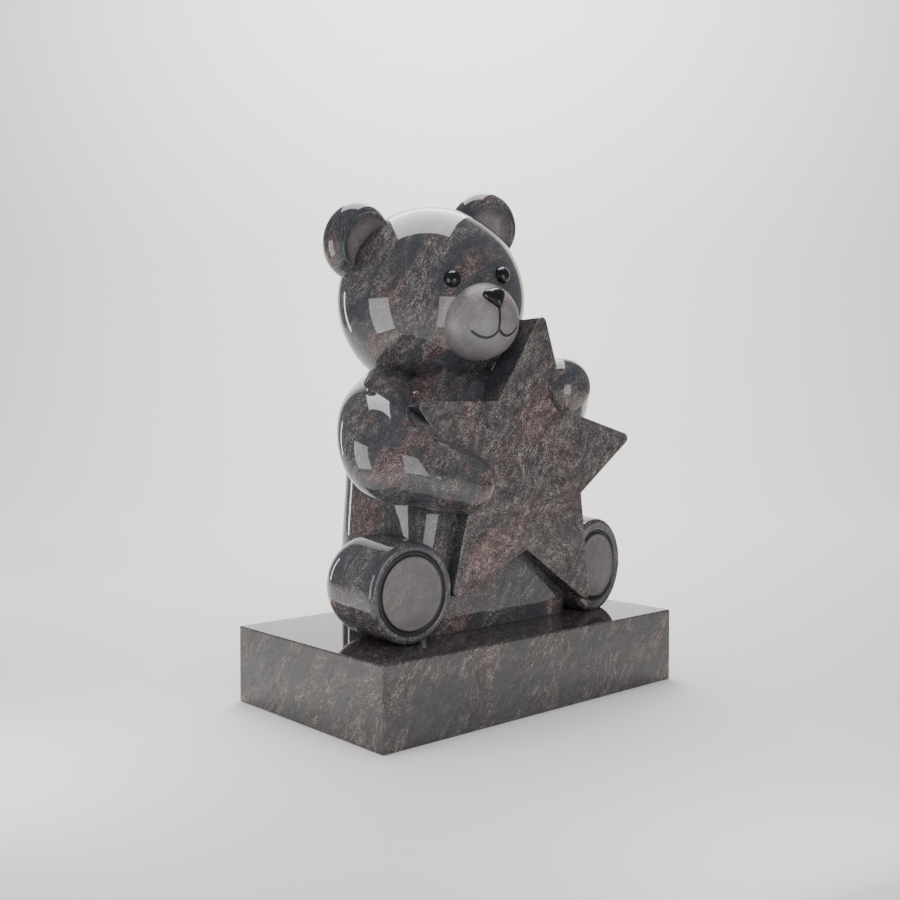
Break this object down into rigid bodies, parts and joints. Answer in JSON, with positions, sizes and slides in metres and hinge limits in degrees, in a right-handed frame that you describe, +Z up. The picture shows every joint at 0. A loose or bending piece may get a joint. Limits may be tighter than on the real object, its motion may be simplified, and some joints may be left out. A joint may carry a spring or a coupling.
{
  "type": "headstone",
  "caption": "Small memorial headstone: a seated teddy bear carved in polished granite, hugging an upright star, on a rectangular stone plinth.",
  "frame": {"origin": "centre of the plinth's underside, on the ground", "axes": "+Z up, +X towards the bear's left hand along the plinth's long side, -Y the way the bear and the star face"},
  "size_m": [0.52, 0.3213, 0.6929],
  "materials": {
    "granite": "polished multicolour grey granite with pinkish and bluish patches, honed on the muzzle, foot pads and ear dishes",
    "black_inlay": "gloss black stone inlay"
  },
  "bodies": {
    "root": {"plinth": "granite", "bear_with_star": "granite", "right_eye": "black_inlay", "left_eye": "black_inlay", "nose": "black_inlay"}
  },
  "joints": []
}
